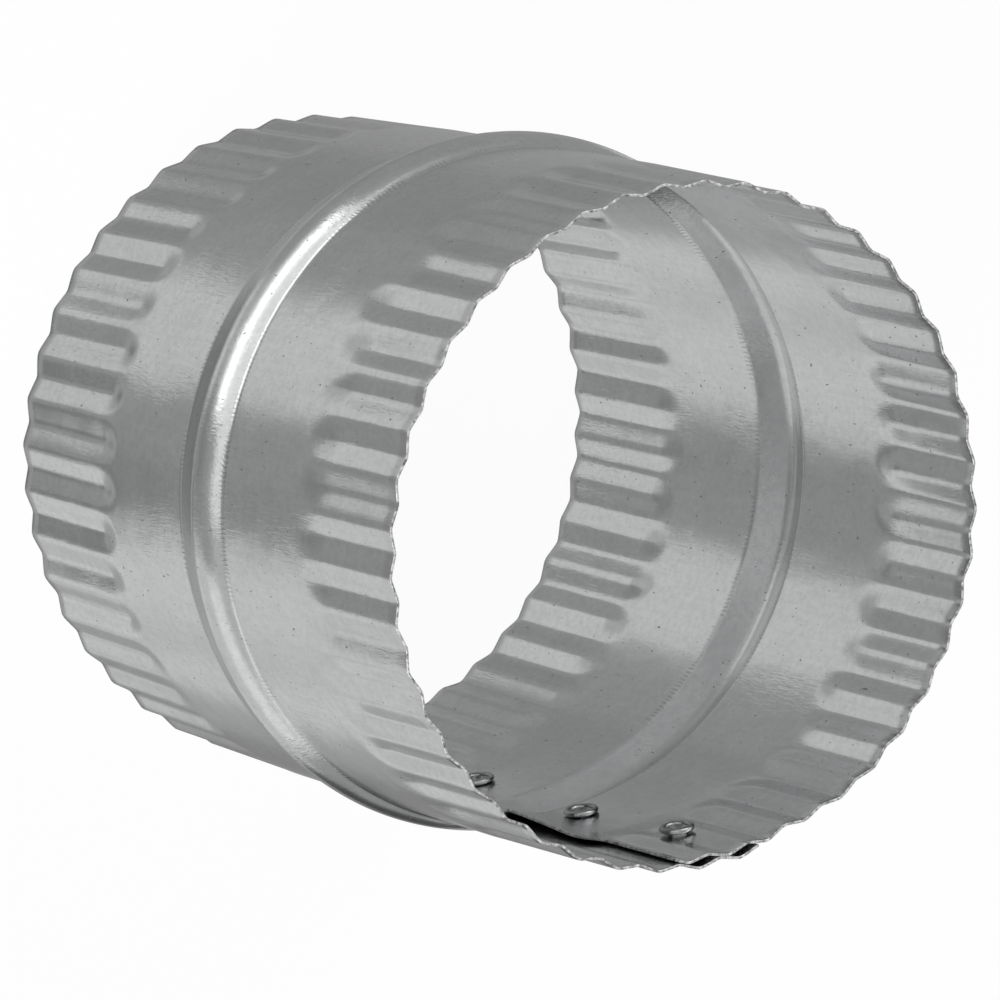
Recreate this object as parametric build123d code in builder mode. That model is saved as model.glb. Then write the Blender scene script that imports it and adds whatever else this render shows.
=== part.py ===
"""Round sheet-metal duct connector: a rolled and riveted sleeve with a stop bead and two fluted ends.

Millimetres. The sleeve stands on its lower rim with its axis on Z, and the origin is the centre of that rim.
The sheet starts under the lap seam, which faces -Y, runs once round anticlockwise and ends over its own start.
"""

import os
from math import asin, atan2, ceil, cos, degrees, floor, pi, radians, sin, sqrt

from build123d import *

# Sheet and sleeve
sheet = 0.4
outer_radius = 50.8
length = 110.0

# Fluted ends, which slip into the next duct: the crests start flush with the plain band and taper in to the rim
lower_flutes = 29.2
upper_flutes = 24.3
flute_runout = 2.0
flute_pitch = 7.11
flute_depth = 0.85
rim_taper = 0.4
lower_flutes_turn = 1.5

# Stop bead, pressed outwards from the plain band
bead_middle = 57.0
bead_width = 12.8
bead_height = 1.9
bead_foot_radius = 2.5

# Lap seam: the outer layer's width over the inner one, and the joggle that takes the inner one under it
lap_width = 15.0
lap_gap = 0.1
joggle_start = 1.65
joggle_length = 21.3
circle_arcs = 6  # the full circle is made in this many arcs, so that no face holds more than a few flutes

# Semi-tubular rivets: a low round head outside, and a tail rolled into a ring inside
crimp_rivet_inset = 14.0
lower_rivet_drop = 18.0
upper_rivet_rise = 12.0
rivet_offset = 2.2
shank_diameter = 3.2
hole_clearance = 0.1
head_diameter = 5.8
head_height = 1.1
head_edge = 0.3
tail_diameter = 5.3
tail_height = 0.95
bore_diameter = 2.2
bore_depth = 1.5
bore_point = 0.25
seat_gap = 0.02

# Worked out from the sizes above
middle_radius = outer_radius - sheet / 2
plain_drop = sheet + lap_gap
fluted_drop = plain_drop + flute_depth
upper_flutes_foot = length - upper_flutes
rivet_heights = {
    "rivet_lower_crimp": crimp_rivet_inset,
    "rivet_lower_band": bead_middle - lower_rivet_drop,
    "rivet_upper_band": bead_middle + upper_rivet_rise,
    "rivet_upper_crimp": length - crimp_rivet_inset,
}


def angle_of(arc_length):
    """The angle, in degrees, of a length measured round the middle of the sheet."""
    return degrees(arc_length / middle_radius)


pitch_angle = angle_of(flute_pitch)
inner_edge = -90 - angle_of(lap_width) / 2
outer_edge = 270 + angle_of(lap_width) / 2
rivet_angle = -90 + angle_of(rivet_offset)
joggle_foot = outer_edge - 360 + angle_of(joggle_start)
joggle_head = joggle_foot + angle_of(joggle_length)


def radial(angle, distance, centre=(0, 0)):
    """The point at a distance from a centre, in the direction of an angle in degrees."""
    return (
        centre[0] + distance * cos(radians(angle)),
        centre[1] + distance * sin(radians(angle)),
    )


def rolled_bends():
    """The plain sheet's bends seen from above, as (centre, middle radius, start angle, end angle).

    The inner layer is an arc on Z. Two arcs, tangent to it and to each other, bring the sheet out to the full circle.
    """
    spread = 1 - cos(radians(joggle_head - joggle_foot))
    shift = plain_drop * (1 + sqrt(1 - spread / 2)) / spread
    outward = radial(joggle_foot, -shift)
    inward = radial(joggle_head, shift)
    join = degrees(atan2(inward[1] - outward[1], inward[0] - outward[0]))
    arc = (outer_edge - joggle_head) / circle_arcs
    starts = [joggle_head + step * arc for step in range(circle_arcs)]
    return [
        ((0, 0), middle_radius - plain_drop, inner_edge, joggle_foot),
        (outward, middle_radius - plain_drop + shift, joggle_foot, join),
        (inward, middle_radius - shift, join, joggle_head),
        *(((0, 0), middle_radius, start, start + arc) for start in starts),
    ]


bends = rolled_bends()


def plain_section():
    """The cross-section of the plain sheet, as arcs."""
    edges = []
    for side in (-sheet / 2, sheet / 2):
        for centre, radius, start, end in bends:
            edges.append(CenterArc(centre, radius + side, start, end - start))
    for angle, radius in ((inner_edge, middle_radius - plain_drop), (outer_edge, middle_radius)):
        edges.append(sheet_edge(angle, radius))
    return Face(Wire(edges))


def sheet_edge(angle, radius):
    """The cut edge of the sheet at an angle, across its thickness."""
    return Line(radial(angle, radius - sheet / 2), radial(angle, radius + sheet / 2))


def fluted_radius(angle, turn, taper):
    """The middle radius of the fluted sheet at an angle, and how fast it grows with the angle."""
    share = min(max((angle - joggle_foot) / (joggle_head - joggle_foot), 0), 1)
    wave = 2 * pi * (angle - joggle_head - turn) / pitch_angle
    radius = middle_radius - taper - flute_depth * (1 - cos(wave)) / 2
    radius -= fluted_drop * (1 + cos(pi * share)) / 2
    growth = -flute_depth * pi / radians(pitch_angle) * sin(wave)
    growth += fluted_drop * sin(pi * share) / 2 * pi / radians(joggle_head - joggle_foot)
    return radius, growth


def fluted_side(start, end, side, turn, taper):
    """One side of the fluted sheet between two angles, through its crests and valleys."""
    half_pitch = pitch_angle / 2
    first_crest = joggle_head + turn
    least_step = 0.1  # of half a pitch: a crest or valley nearer to an end than this is left out
    first = ceil((start - first_crest) / half_pitch + least_step)
    last = floor((end - first_crest) / half_pitch - least_step)
    angles = [start, *(first_crest + step * half_pitch for step in range(first, last + 1)), end]
    points = [radial(angle, fluted_radius(angle, turn, taper)[0] + side) for angle in angles]
    tangents = []
    for angle in (start, end):
        radius, growth = fluted_radius(angle, turn, taper)
        out, along = Vector(radial(angle, 1)), Vector(radial(angle + 90, 1))
        tangents.append(out * growth + along * (radius + side))
    return Spline(*points, tangents=tangents, tangent_scalars=(1, 1))


def corner_angle(centre, radius, start):
    """The angle about Z, within half a turn of the bend's own start angle, at which a bend starts."""
    x, y = radial(start, radius, centre)
    angle = degrees(atan2(y, x))
    return angle + 360 * round((start - angle) / 360)


def fluted_section(turn, taper):
    """The cross-section of the fluted sheet. Its corners lie at the same angles as the plain sheet's."""
    joins = [*(corner_angle(centre, radius, start) for centre, radius, start, _ in bends), outer_edge]
    edges = []
    for side in (-sheet / 2, sheet / 2):
        for start, end in zip(joins, joins[1:]):
            edges.append(fluted_side(start, end, side, turn, taper))
    for angle in (inner_edge, outer_edge):
        edges.append(sheet_edge(angle, fluted_radius(angle, turn, taper)[0]))
    return Face(Wire(edges))


def fluted_end(foot, towards_rim, flutes, turn):
    """The three sections of a fluted end: the plain sheet, the flutes' full depth and the rim."""
    taper = rim_taper * flute_runout / flutes
    return [
        Plane.XY.offset(foot) * plain_section(),
        Plane.XY.offset(foot + towards_rim * flute_runout) * fluted_section(turn, taper),
        Plane.XY.offset(foot + towards_rim * flutes) * fluted_section(turn, rim_taper),
    ]


# These are made outside the builders, which would join the flutes' edges into one and twist the runouts
fluted_ends = [
    fluted_end(lower_flutes, -1, lower_flutes, lower_flutes_turn),
    fluted_end(upper_flutes_foot, 1, upper_flutes, 0),
]


def band_profile(radius):
    """The plain band cut lengthwise, with the stop bead: x is the distance from the bend's axis, y is the height."""
    inside = radius - sheet / 2
    arcs = ((bead_width / 2) ** 2 + bead_height**2) / (2 * bead_height)
    crest_radius = arcs - bead_foot_radius
    slope = degrees(asin(bead_width / 2 / arcs))
    crest_centre = (inside + bead_height - crest_radius, bead_middle)
    lower_foot, upper_foot = bead_middle - bead_width / 2, bead_middle + bead_width / 2
    foot_centre = inside + bead_foot_radius
    with BuildLine() as outline:
        Line((inside, lower_flutes), (inside, lower_foot))
        CenterArc((foot_centre, lower_foot), bead_foot_radius, 180, -slope)
        CenterArc(crest_centre, crest_radius, -slope, 2 * slope)
        CenterArc((foot_centre, upper_foot), bead_foot_radius, 180, slope)
        Line((inside, upper_foot), (inside, upper_flutes_foot))
        offset(amount=sheet, side=Side.RIGHT)
    make_face(outline.edges())


# The sleeve, one sheet: the plain band with its bead, bend by bend, then each fluted end
with BuildPart() as sleeve:
    for centre, radius, start, end in bends:
        across = (*radial(start - 90, 1), 0)
        with BuildSketch(Plane(origin=(*centre, 0), x_dir=(*radial(start, 1), 0), z_dir=across)):
            band_profile(radius)
        revolve(axis=Axis((*centre, 0), (0, 0, 1)), revolution_arc=end - start)

    for sections in fluted_ends:
        loft(sections=sections, ruled=True)

    for height in rivet_heights.values():
        with BuildSketch(Plane(origin=(0, 0, height), z_dir=(*radial(rivet_angle, 1), 0))):
            Circle(shank_diameter / 2 + hole_clearance)
        extrude(amount=outer_radius + bead_height, mode=Mode.SUBTRACT)
sleeve.part.label = "sleeve"


def rivet_profile(head_seat, tail_seat):
    """Half of a rivet cut lengthwise, on the right of its axis: y is the distance from the sleeve's axis."""
    head_radius, shank_radius, bore_radius = head_diameter / 2, shank_diameter / 2, bore_diameter / 2
    head_top = head_seat + head_height
    roll_radius = tail_height / 2
    roll_middle = (tail_diameter / 2 - roll_radius, tail_seat - roll_radius)
    bore_end = tail_seat - tail_height + bore_depth
    with BuildLine() as outline:
        Polyline((0, bore_end + bore_point), (0, head_top))
        dome = TangentArc((0, head_top), (head_radius, head_seat + head_edge), tangent=(1, 0))
        Polyline(
            dome @ 1,
            (head_radius, head_seat),
            (shank_radius, head_seat),
            (shank_radius, tail_seat),
            (roll_middle[0], tail_seat),
        )
        roll = CenterArc(roll_middle, roll_radius, 90, -270)
        Polyline(
            roll @ 1,
            (bore_radius, tail_seat),
            (bore_radius, bore_end),
            (0, bore_end + bore_point),
        )
    make_face(outline.edges())


rivets = []
for name, height in rivet_heights.items():
    head_crest, tail_crest = outer_radius, outer_radius - plain_drop
    for past_foot, flutes in ((lower_flutes - height, lower_flutes), (height - upper_flutes_foot, upper_flutes)):
        if past_foot > 0:
            head_crest -= rim_taper * (past_foot - head_diameter / 2) / flutes
            tail_crest = outer_radius - fluted_drop - flute_depth
            tail_crest -= rim_taper * (past_foot + tail_diameter / 2) / flutes
    with BuildPart() as rivet:
        with BuildSketch(Plane((0, 0, height), x_dir=(0, 0, 1), z_dir=(*radial(rivet_angle + 90, 1), 0))):
            rivet_profile(
                head_seat=head_crest + seat_gap,
                tail_seat=sqrt((tail_crest - sheet) ** 2 - (tail_diameter / 2) ** 2) - seat_gap,
            )
        revolve(axis=Axis((0, 0, height), (*radial(rivet_angle, 1), 0)))
    rivet.part.label = name
    rivets.append(rivet.part)

os.makedirs("parts", exist_ok=True)
for piece in [sleeve.part, *rivets]:
    export_step(piece, f"parts/{piece.label}.step")
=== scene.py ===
"""Round galvanised duct connector, stood on its lower fluted end: its sheet, finishes, floor, light and camera.

Lengths are in millimetres and angles in degrees, except where a line hands them to Blender.
"""

import math
from random import Random

import bpy
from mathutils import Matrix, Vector


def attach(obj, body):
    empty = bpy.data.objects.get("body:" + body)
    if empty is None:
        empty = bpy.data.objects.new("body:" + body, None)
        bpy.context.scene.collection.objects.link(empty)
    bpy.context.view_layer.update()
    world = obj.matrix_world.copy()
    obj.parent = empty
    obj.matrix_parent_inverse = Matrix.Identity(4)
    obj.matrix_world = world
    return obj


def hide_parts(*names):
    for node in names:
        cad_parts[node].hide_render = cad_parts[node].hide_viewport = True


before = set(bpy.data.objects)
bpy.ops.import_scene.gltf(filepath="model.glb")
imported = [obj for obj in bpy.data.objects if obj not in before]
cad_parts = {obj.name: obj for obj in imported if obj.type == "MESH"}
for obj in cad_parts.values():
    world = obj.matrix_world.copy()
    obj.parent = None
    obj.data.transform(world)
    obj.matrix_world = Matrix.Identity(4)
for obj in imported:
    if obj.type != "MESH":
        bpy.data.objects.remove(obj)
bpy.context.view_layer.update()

# The rolled sheet, as the CAD part has it
sheet = 0.4
length = 110.0
middle_radius = 50.6
inner_edge = -98.49
outer_edge = 278.49
joggle_foot = -79.64
joggle_head = -55.52
lap_drop = 0.5
flute_angle = 8.0508
flute_depth = 0.85
lower_flutes = 29.2
upper_flutes_foot = 85.7
lower_flutes_turn = 1.5
rim_taper = 0.4
bead_middle = 57.0
bead_height = 1.9
rivet_angle = -87.51
crimp_rivets = (14.0, 96.0)

# The flat blank: its width, and its rows as (height that they reach, how many), closer at the bead and at the
# flutes' ends. It is a hair shorter than the sheet, whose thickness adds that where the rims lean inwards
wrap = outer_edge - inner_edge
blank_width = math.radians(wrap) * middle_radius
blank_inset = 0.005
columns = 562
row_bands = (
    (23.0, 9), (31.0, 11), (49.5, 6), (64.5, 26), (79.5, 5), (91.5, 14), (length - 2 * blank_inset, 7),
)

# The bead's profile: a straight lower flank and a round crown, blended into each other and into the plain band
bead_reach = 7.2
flank_slope = 0.30
flank_foot = 6.3
crown_height = 1.97
crown_curve = 19.6
crown_blend = 0.22
foot_blend = 0.10

# How the flutes end, lower end first: how far they reach into the plain band, how much earlier they end at
# their sides than in their middle, and the length of their runout
flute_endings = ((1.2, 2.8, 6.5), (2.4, 1.6, 9.0))
flute_flatness = 0.97

# Each flute's own share of the full depth, shift along the sleeve and slant from side to side, lower end first
flute_count = 48
quirk_ranges = ((0.86, 1.08), (-1.3, 0.9), (-1.4, 1.4))
hand = Random(4)
flute_quirks = [
    [tuple(hand.uniform(*span) for span in quirk_ranges) for _ in range(flute_count)] for _ in range(2)
]

# The lap: where the end rivets press it flat, the room that its inner flutes need, and its free edge's spring
seat_radius = 2.6
seat_reach = 6.0
inner_flutes_room = 0.62
room_lead = 6.0
room_runout = 9.0
edge_spring = 1.35
spring_width = 8.5
spring_foot = 34.0
spring_rise = 16.0
spring_fall = 33.0
spring_top = 95.0

# The sleeve's unevenness: waves round each rim, as (how many, their share, where they start)
unevenness = 0.3
even_by_lap = 8.0
lower_rim_waves = ((2, 0.22, 0.7), (5, 0.16, 2.1), (11, 0.10, 4.0))
upper_rim_waves = ((2, 0.20, 2.9), (4, 0.18, 0.4), (13, 0.10, 1.0))

# The cut edge's eased corners
edge_ease = 0.07
corner_angle = 60.0
smooth_angle = 50.0


def pick_nothing():
    """Deselects every object, which the frame leaves selected."""
    bpy.ops.object.select_all(action="DESELECT")


def pick(piece):
    """Makes a piece the only one selected."""
    pick_nothing()
    piece.select_set(True)
    bpy.context.view_layer.objects.active = piece


def pick_points(piece, wanted):
    """Opens a piece for editing with only the wanted points selected."""
    bpy.ops.object.mode_set(mode="EDIT")
    bpy.ops.mesh.select_mode(type="VERT")
    bpy.ops.mesh.select_all(action="DESELECT")
    bpy.ops.object.mode_set(mode="OBJECT")
    for vertex in piece.data.vertices:
        vertex.select = wanted(vertex.co)
    bpy.ops.object.mode_set(mode="EDIT")


def modifier(piece, kind, **settings):
    """Adds a modifier and applies it."""
    pick(piece)
    added = piece.modifiers.new(kind.title(), kind)
    for name, value in settings.items():
        setattr(added, name, value)
    bpy.ops.object.modifier_apply(modifier=added.name)


def smoothstep(value):
    """Eases from 0 to 1 as the value does."""
    value = min(max(value, 0.0), 1.0)
    return value * value * (3 - 2 * value)


# The sheet

def cut_blank():
    """The flat sheet, upright and facing -Y, drawn up row by row from a strip at its foot."""
    steps, foot = [], 0.0
    for top, rows in row_bands:
        steps += [(top - foot) / rows / 1000] * rows
        foot = top
    strip = steps[0]

    pick_nothing()
    bpy.ops.mesh.primitive_grid_add(x_subdivisions=columns, y_subdivisions=1, size=1)
    blank = bpy.context.object
    blank.name = "sheet"
    blank.dimensions = (blank_width / 1000, strip, 0)
    blank.rotation_euler = (math.pi / 2, 0, 0)
    blank.location = (0, 0, strip / 2 + blank_inset / 1000)
    bpy.ops.object.transform_apply(location=True, rotation=True, scale=True)

    pick_points(blank, lambda point: point.z > strip / 2)
    for step in steps[1:]:
        bpy.ops.mesh.extrude_region_move(TRANSFORM_OT_translate={"value": (0, 0, step)})
    bpy.ops.mesh.select_all(action="SELECT")
    bpy.ops.mesh.normals_make_consistent(inside=False)
    bpy.ops.object.mode_set(mode="OBJECT")
    if blank.data.polygons[0].normal.y > 0:
        bpy.ops.object.mode_set(mode="EDIT")
        bpy.ops.mesh.flip_normals()
        bpy.ops.object.mode_set(mode="OBJECT")
    return blank


def press(blank, outward, weight):
    """Presses the blank outwards by up to that many millimetres, as far as weight(angle, height) says."""
    group = blank.vertex_groups.new(name="pressed")
    for vertex in blank.data.vertices:
        angle = 90 + math.degrees(vertex.co.x * 1000 / middle_radius)
        amount = weight(angle, vertex.co.z * 1000)
        if amount > 0:
            group.add([vertex.index], min(amount, 1.0), "REPLACE")
    modifier(
        blank, "DISPLACE", direction="Y", mid_level=0.0, strength=-outward / 1000, vertex_group="pressed",
    )
    blank.vertex_groups.clear()


def bead(angle, height):
    """The stop bead: a gentle lower flank, a round crown and a steeper upper flank, with eased feet."""
    above = height - bead_middle
    if abs(above) >= bead_reach:
        return 0.0
    flank = flank_slope * (above + flank_foot)
    crown = crown_height - above**2 / crown_curve
    ridge = (flank + crown - math.hypot(flank - crown, crown_blend)) / 2
    return (ridge + math.hypot(ridge, foot_blend)) / 2 / bead_height


def flute(angle, height):
    """How deep a flute is, from 0 on a crest and on the plain band to 1 in a valley."""
    upper = height > length / 2
    past_foot = height - upper_flutes_foot if upper else lower_flutes - height
    turn = 0.0 if upper else lower_flutes_turn
    place = (angle - joggle_head - turn) / flute_angle
    number = math.floor(place)
    across = place - number
    strength, shift, slant = flute_quirks[upper][number % flute_count]
    lead, rounding, runout = flute_endings[upper]
    wave = math.asin(flute_flatness * math.cos(2 * math.pi * across)) / math.asin(flute_flatness)
    side = abs(2 * across - 1)
    end = lead + past_foot + shift + slant * (across - 0.5)
    end -= rounding * (1 - math.sqrt(max(1 - side**2, 0)))
    return (1 - wave) / 2 * strength * smoothstep(end / runout)


def rivet_seat(angle, height):
    """1 where an end rivet presses the lap flat, fading to 0 round it."""
    turned = (angle - rivet_angle + 180) % 360 - 180
    around = math.radians(turned) * middle_radius
    away = min(math.hypot(around, height - rivet) for rivet in crimp_rivets)
    return smoothstep((seat_reach - away) / (seat_reach - seat_radius))


def flutes(angle, height):
    """The flutes. At an end rivet the layer underneath is flat in a valley and the other flat on a crest."""
    dent = flute(angle, height)
    flat = 1.0 if angle < 0 else 0.0
    return dent + (flat - dent) * rivet_seat(angle, height)


def taper(angle, height):
    """The narrowing of the fluted ends towards their rims."""
    lower = (lower_flutes - height) / lower_flutes
    upper = (height - upper_flutes_foot) / (length - upper_flutes_foot)
    return max(lower, upper, 0)


def under_lap(angle, height):
    """The step that takes the sheet under its own end, easing out along the joggle."""
    share = min(max((angle - joggle_foot) / (joggle_head - joggle_foot), 0), 1)
    return (1 + math.cos(math.pi * share)) / 2


def fluted_lap(angle, height):
    """The extra room that the flutes of the layer underneath need."""
    past_foot = max(lower_flutes - height, height - upper_flutes_foot)
    return under_lap(angle, height) * smoothstep((past_foot + room_lead) / room_runout)


def sprung_edge(angle, height):
    """The free edge under the lap, which springs inwards beside the bead."""
    from_edge = math.radians(angle - inner_edge) * middle_radius
    bent = max(1 - from_edge / spring_width, 0) ** 2
    rise = smoothstep((height - spring_foot) / spring_rise)
    fall = smoothstep((spring_top - height) / spring_fall)
    return bent * rise * fall


def rim_wave(angle, waves):
    """How far a rim is off the round, at an angle."""
    return sum((share * math.sin(count * math.radians(angle) + start) for count, share, start in waves), 0.5)


def out_of_round(angle, height):
    """The slight unevenness of a sheet rolled and crimped by hand, with none at the bead and the lap."""
    up = height / length
    wave = rim_wave(angle, lower_rim_waves) * (1 - up) + rim_wave(angle, upper_rim_waves) * up
    by_lap = smoothstep((joggle_foot + even_by_lap - angle) / even_by_lap)
    return wave * smoothstep(abs(up - 0.5) * 2) * (1 - by_lap)


def roll(blank):
    """Rolls the flat sheet round the Z axis, seam at -Y."""
    modifier(blank, "SIMPLE_DEFORM", deform_method="BEND", deform_axis="Z", angle=math.radians(wrap))
    blank.location = (0, middle_radius / 1000, 0)
    blank.rotation_euler = (0, 0, math.pi)
    pick(blank)
    bpy.ops.object.transform_apply(location=True, rotation=True, scale=True)


def make_sheet(face, edge):
    """The whole sleeve: one sheet, beaded and fluted flat, then rolled, with its thickness and two finishes."""
    blank = cut_blank()
    blank.data.materials.append(face)
    blank.data.materials.append(edge)
    press(blank, bead_height, bead)
    press(blank, -flute_depth, flutes)
    press(blank, -rim_taper, taper)
    press(blank, -lap_drop, under_lap)
    press(blank, -inner_flutes_room, fluted_lap)
    press(blank, -edge_spring, sprung_edge)
    press(blank, -unevenness, out_of_round)
    roll(blank)
    modifier(blank, "SOLIDIFY", thickness=sheet / 1000, offset=0.0, material_offset_rim=1)
    modifier(
        blank, "BEVEL", width=edge_ease / 1000, segments=2, limit_method="ANGLE",
        angle_limit=math.radians(corner_angle), material=1,
    )
    pick(blank)
    bpy.ops.object.shade_smooth_by_angle(angle=math.radians(smooth_angle))
    return blank


# Finishes

zinc = (0.62, 0.63, 0.635, 1)
bright_zinc = (0.75, 0.76, 0.76, 1)
mottled_zinc = (0.50, 0.51, 0.515, 1)
streaked_zinc = (0.50, 0.51, 0.52, 1)
grainy_zinc = (0.60, 0.605, 0.60, 1)
pitted_zinc = (0.14, 0.14, 0.145, 1)
nicked_zinc = (0.25, 0.25, 0.26, 1)
dirty_edge = (0.12, 0.12, 0.12, 1)
clean_edge = (0.66, 0.66, 0.65, 1)
dark_plating = (0.24, 0.24, 0.245, 1)
worn_plating = (0.42, 0.42, 0.42, 1)
white = (1, 1, 1, 1)
pale = (0.8, 0.8, 0.8, 1)

# The tool marks at the bead's feet: how close they are, how far they wander, and where they start and end
nick_rate = 9.0
nick_wander = 30.0
nicks_start = (5.5, 5.9)
nicks_end = (6.6, 7.1)


class Signal:
    """A number that varies over a surface or from ray to ray. Sums, differences and products add Math nodes."""

    def __init__(self, board, socket):
        self.board, self.socket = board, socket

    def math(self, operation, *others):
        inputs = dict(enumerate((self, *others)))
        return self.board.signal("ShaderNodeMath", 0, {"operation": operation}, inputs)

    def __add__(self, other):
        return self.math("ADD", other)

    __radd__ = __add__

    def __mul__(self, other):
        return self.math("MULTIPLY", other)

    __rmul__ = __mul__

    def __sub__(self, other):
        return self.math("SUBTRACT", other)

    def __rsub__(self, other):
        return self * -1 + other


class Board:
    """A node tree that is cleared and then filled."""

    def __init__(self, tree):
        self.tree = tree
        self.tree.nodes.clear()

    def node(self, kind, settings=None, inputs=None):
        """Adds a node: its settings first, then the values or links of its sockets."""
        node = self.tree.nodes.new(kind)
        for name, value in (settings or {}).items():
            setattr(node, name, value)
        for name, value in (inputs or {}).items():
            if isinstance(value, Signal):
                value = value.socket
            if isinstance(value, bpy.types.NodeSocket):
                self.tree.links.new(value, node.inputs[name])
            else:
                node.inputs[name].default_value = value
        return node

    def signal(self, kind, output, settings=None, inputs=None):
        """Adds a node and gives one of its outputs as a number."""
        return Signal(self, self.node(kind, settings, inputs).outputs[output])


class Finish(Board):
    """A surface finish in the making: a material and its nodes."""

    def __init__(self, name):
        self.material = bpy.data.materials.new(name)
        self.material.use_nodes = True
        super().__init__(self.material.node_tree)

    def place(self, along=1.0):
        """The place on the piece, in millimetres, with heights times a share that draws a pattern out."""
        coordinates = self.node("ShaderNodeTexCoord").outputs["Object"]
        scale = (1000, 1000, 1000 * along)
        return self.node("ShaderNodeMapping", None, {"Vector": coordinates, "Scale": scale}).outputs[0]

    def noise(self, per_mm, detail, roughness, along=1.0, distortion=0.0):
        """Cloudy noise with that many clouds a millimetre."""
        inputs = {
            "Vector": self.place(along), "Scale": per_mm, "Detail": detail, "Roughness": roughness,
            "Distortion": distortion,
        }
        return self.signal("ShaderNodeTexNoise", 0, None, inputs)

    def between(self, signal, low, high):
        """0 below one value, 1 above another, and smooth in between."""
        inputs = {"Value": signal, "From Min": low, "From Max": high}
        return self.signal("ShaderNodeMapRange", 0, {"interpolation_type": "SMOOTHSTEP"}, inputs)

    def mix(self, factor, first, second):
        """Mixes two colours, whose sockets come after the ones for numbers and vectors."""
        inputs = {0: factor, 6: first, 7: second}
        return self.node("ShaderNodeMix", {"data_type": "RGBA"}, inputs).outputs[2]

    def bump(self, relief):
        """The normal of a surface with that relief, in millimetres."""
        return self.node("ShaderNodeBump", None, {"Height": relief, "Distance": 1 / 1000}).outputs[0]

    def metal(self, tone, roughness, normal):
        """Ends the material in bare metal."""
        inputs = {"Base Color": tone, "Metallic": 1.0, "Roughness": roughness, "Normal": normal}
        shader = self.node("ShaderNodeBsdfPrincipled", None, inputs)
        return self.shown(shader)

    def shown(self, shader):
        """Ends the material in a shader."""
        self.node("ShaderNodeOutputMaterial", None, {"Surface": shader.outputs[0]})
        return self.material


def galvanised_sheet():
    """Zinc-coated sheet: satin, mottled and streaked, with small dark pits, and tool marks by the bead."""
    finish = Finish("galvanised_sheet")
    streaks = finish.noise(per_mm=1.6, detail=3, roughness=0.6, along=0.05)
    clouds = finish.noise(per_mm=0.12, detail=3, roughness=0.55)
    mottle = finish.noise(per_mm=0.8, detail=3, roughness=0.75)
    grain = finish.noise(per_mm=2.6, detail=3, roughness=0.7)
    specks = finish.noise(per_mm=1.7, detail=1, roughness=0.4, along=0.6)
    pits = finish.between(specks, 0.73, 0.80)
    waves = finish.noise(per_mm=0.06, detail=2, roughness=0.5)
    ripples = finish.noise(per_mm=2.2, detail=2, roughness=0.5, along=0.16, distortion=0.9)
    rippled = finish.between(waves, 0.46, 0.60)

    split = finish.node("ShaderNodeSeparateXYZ", None, {0: finish.place()})
    x, y, z = (Signal(finish, socket) for socket in split.outputs)
    around = x.math("ARCTAN2", y) * middle_radius
    nicks = finish.between((around * nick_rate + clouds * nick_wander).math("SINE"), 0.0, 0.9)
    from_bead = (z - bead_middle).math("ABSOLUTE")
    foot = finish.between(from_bead, *nicks_start) * (1 - finish.between(from_bead, *nicks_end))
    chatter = nicks * foot * finish.between(clouds, 0.43, 0.58)

    tone = finish.mix(clouds, zinc, bright_zinc)
    tone = finish.mix(finish.between(mottle, 0.35, 0.70) * 0.35, tone, mottled_zinc)
    tone = finish.mix(finish.between(streaks, 0.35, 0.75) * 0.15, tone, streaked_zinc)
    tone = finish.mix(grain * 0.3, tone, grainy_zinc)
    tone = finish.mix(pits * 0.7, tone, pitted_zinc)
    tone = finish.mix(chatter * 0.35, tone, nicked_zinc)
    rough = 0.12 + streaks * 0.05 + clouds * 0.05 + mottle * 0.06 + pits * 0.2
    fine_relief = ripples * (0.5 + rippled * 2.2) + mottle * 0.9 + chatter * 0.8
    return finish.metal(tone, rough, finish.bump(fine_relief * 0.012 + waves * 0.25))


def cut_edge():
    """The sheared edge of the sheet: bare steel with a fine burr and a little dirt."""
    finish = Finish("cut_edge")
    grain = finish.noise(per_mm=1.2, detail=3, roughness=0.7)
    tone = finish.mix(finish.between(grain, 0.3, 0.7), dirty_edge, clean_edge)
    return finish.metal(tone, 0.3 + grain * 0.2, finish.bump(grain * 0.06))


def rivet_steel():
    """Plated rivets: darker than the sheet, and worn."""
    finish = Finish("rivet_steel")
    wear = finish.noise(per_mm=0.5, detail=3, roughness=0.6)
    scuffs = finish.noise(per_mm=3.0, detail=2, roughness=0.5)
    tone = finish.mix(finish.between(wear, 0.3, 0.7), dark_plating, worn_plating)
    return finish.metal(tone, 0.22 + wear * 0.15, finish.bump(scuffs * 0.02))


sleeve = make_sheet(galvanised_sheet(), cut_edge())
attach(sleeve, "root")
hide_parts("sleeve")

steel = rivet_steel()
for name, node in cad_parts.items():
    if name.startswith("rivet"):
        node.data.materials.clear()
        node.data.materials.append(steel)


# Floor, light and camera

# The floor: its width in metres, how white it is to the camera, and how strong the sky is on it
floor_width = 6.0
floor_glow = 0.95
floor_light = 0.5

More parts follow.
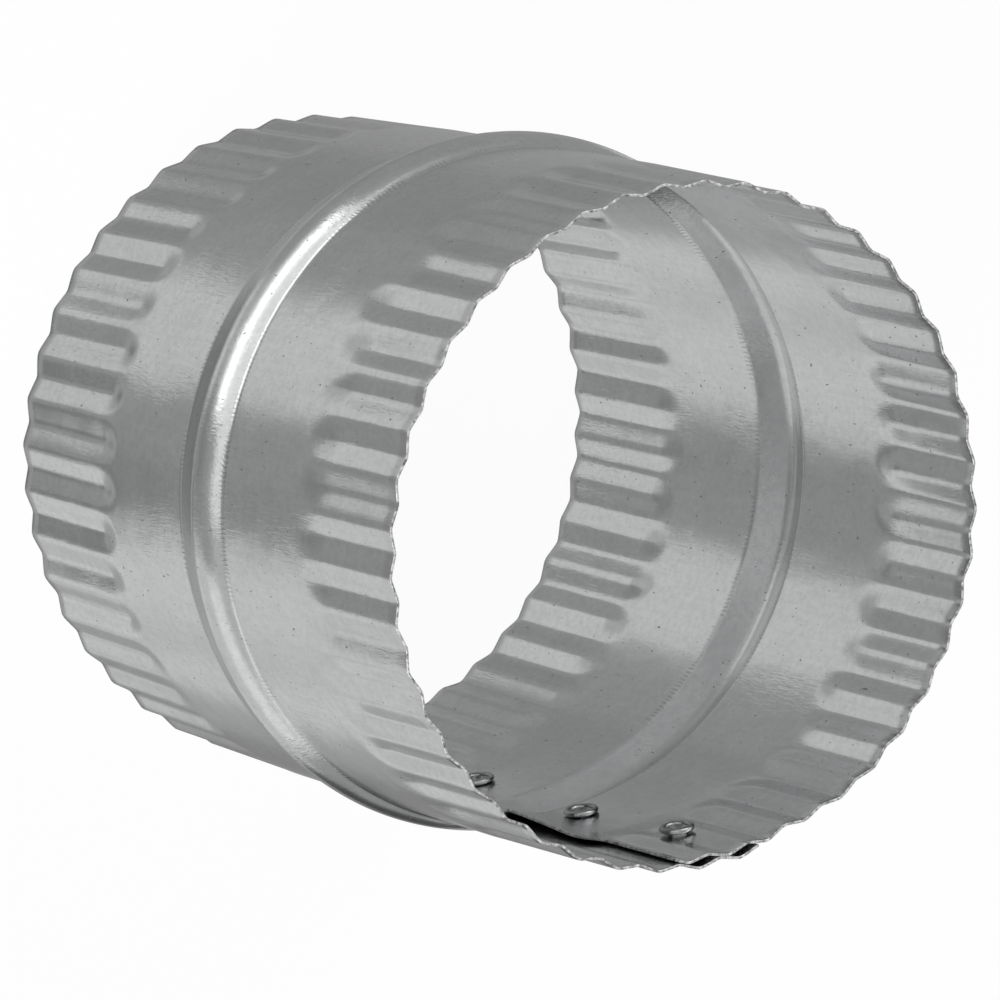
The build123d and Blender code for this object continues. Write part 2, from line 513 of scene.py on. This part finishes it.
# What the metal reflects: a grey bowl, and in front of it grey and white cards, each nearer than the last and
# folded every few degrees, as (start and end round the duct, lowest and highest elevation, brightness)
bowl = (0, 360, -90, -12, 0.355)
bowl_distance = 4000
first_card_distance = 2500
card_spacing = 20
card_fold = 5
cards = (
    (105, 152, -67, -60, 0.68),
    (114, 154, -60, -47, 0.73),
    (118, 150, -47, -30, 0.50),
    (98, 158, -25, -12, 2.10),
    (98, 158, -12, 3, 1.00),
    (98, 158, -30, -24, 0.60),
    (150, 184, -48, -30, 0.28),
    (180, 209, -67, -60, 0.20),
    (211, 246, -67, -60, 0.79),
    (246, 269, -67, -60, 0.61),
    (269, 290, -67, -60, 0.38),
    (197, 232, -60, -47, 0.73),
    (232, 250, -60, -47, 0.64),
    (250, 269, -60, -47, 0.74),
    (269, 290, -60, -47, 0.40),
    (195, 262, -47, -30, 0.70),
    (200, 250, -30, -12, 1.00),
    (264, 302, -47, -30, 0.06),
    (290, 316, -60, -47, 0.26),
    (322, 350, -67, -47, 0.55),
    (304, 376, -47, -30, 0.85),
    (284, 384, -30, -12, 0.90),
    (186, 290, -12, 12, 0.55),
    (40, 80, -67, -47, 0.31),
    (0, 360, -78, -67, 0.42),
    (0, 360, -90, -78, 0.19),
)

# Soft square lamps, as (name, place in metres, width in metres, power), aimed at the middle of the duct
lamps = (
    ("key_lamp", (-0.9, -0.5, 1.1), 0.8, 12),
    ("fill_lamp", (0.6, 0.9, 0.9), 0.8, 6),
)
lamp_target = (0, 0, 0.05)

# The photograph's view, down into the duct from its open end
camera_place = (-0.56929, 0.22733, 1.02625)
camera_turn = (-8.5819, -31.3151, -5.8212)
camera_lens = 275.907
camera_sensor = 36


def pale_floor():
    """The floor's finish: pale and matt under the shadow, and mostly white to the camera and in reflections."""
    finish = Finish("pale_floor")
    matt = finish.node("ShaderNodeBsdfDiffuse", None, {"Color": pale})
    glow = finish.node("ShaderNodeEmission", None, {"Color": white, "Strength": 1.0})
    ray = finish.node("ShaderNodeLightPath").outputs
    seen = Signal(finish, ray["Is Camera Ray"]).math("MAXIMUM", ray["Is Glossy Ray"])
    seen = seen.math("MAXIMUM", ray["Is Transmission Ray"])
    inputs = {0: seen * floor_glow, 1: matt.outputs[0], 2: glow.outputs[0]}
    return finish.shown(finish.node("ShaderNodeMixShader", None, inputs))


def floor():
    """A plain pale floor."""
    pick_nothing()
    bpy.ops.mesh.primitive_plane_add(size=floor_width)
    ground = bpy.context.object
    ground.name = "floor"
    ground.data.materials.append(pale_floor())
    ground.visible_glossy = False


def glossy_only(piece, shade):
    """A stage piece of one even shade that only the metal's reflections show."""
    finish = Finish(piece.name)
    light = finish.node("ShaderNodeEmission", None, {"Color": white, "Strength": shade})
    # Reflections alone find it, so no render time goes into lighting things by it
    finish.material.cycles.emission_sampling = "NONE"
    piece.data.materials.append(finish.shown(light))
    piece.visible_camera = piece.visible_diffuse = piece.visible_shadow = piece.visible_transmission = False


def card(name, start, end, low, high, shade, distance):
    """A grey or white card hung round the duct, spun from its straight side."""
    pick_nothing()
    bpy.ops.mesh.primitive_plane_add(size=1)
    piece = bpy.context.object
    piece.name = name
    pick_points(piece, lambda point: point.x > 0)
    bpy.ops.mesh.delete(type="VERT")
    bpy.ops.mesh.select_all(action="SELECT")
    bpy.ops.object.mode_set(mode="OBJECT")
    turn = math.radians(start)
    for vertex, elevation in zip(piece.data.vertices, (low, high)):
        radius = distance * math.cos(math.radians(elevation)) / 1000
        height = distance * math.sin(math.radians(elevation)) / 1000
        vertex.co = (radius * math.cos(turn), radius * math.sin(turn), height)
    bpy.ops.object.mode_set(mode="EDIT")
    # With no window, spin turns the other way
    steps = max(3, round((end - start) / card_fold))
    bpy.ops.mesh.spin(steps=steps, angle=math.radians(start - end), center=(0, 0, 0), axis=(0, 0, 1))
    bpy.ops.object.mode_set(mode="OBJECT")
    glossy_only(piece, shade)


def lamp(name, place, width, power):
    """A soft square lamp, aimed at the duct."""
    light = bpy.data.lights.new(name, "AREA")
    light.shape, light.size, light.energy = "SQUARE", width, power
    holder = bpy.data.objects.new(name, light)
    holder.location = place
    holder.rotation_euler = (Vector(lamp_target) - Vector(place)).to_track_quat("-Z", "Y").to_euler()
    bpy.context.scene.collection.objects.link(holder)


def world_light():
    """Even white light all round: full white to the camera, and weaker on the matt floor."""
    world = bpy.data.worlds.new("studio")
    world.use_nodes = True
    bpy.context.scene.world = world
    sky = Board(world.node_tree)
    matt = Signal(sky, sky.node("ShaderNodeLightPath").outputs["Is Diffuse Ray"])
    inputs = {"Color": white, "Strength": 1 - matt * (1 - floor_light)}
    background = sky.node("ShaderNodeBackground", None, inputs)
    sky.node("ShaderNodeOutputWorld", None, {"Surface": background.outputs[0]})


def camera():
    """The camera, in the photograph's view."""
    eye = bpy.data.cameras.new("camera")
    eye.lens, eye.sensor_width = camera_lens, camera_sensor
    holder = bpy.data.objects.new("camera", eye)
    holder.location = camera_place
    holder.rotation_euler = tuple(math.radians(turn) for turn in camera_turn)
    bpy.context.scene.collection.objects.link(holder)
    bpy.context.scene.camera = holder


floor()
card("grey_bowl", *bowl, bowl_distance)
for number, place_and_shade in enumerate(cards):
    card(f"card_{number}", *place_and_shade, first_card_distance - card_spacing * number)
for settings in lamps:
    lamp(*settings)
world_light()
camera()
bpy.context.scene.view_settings.view_transform = "Standard"
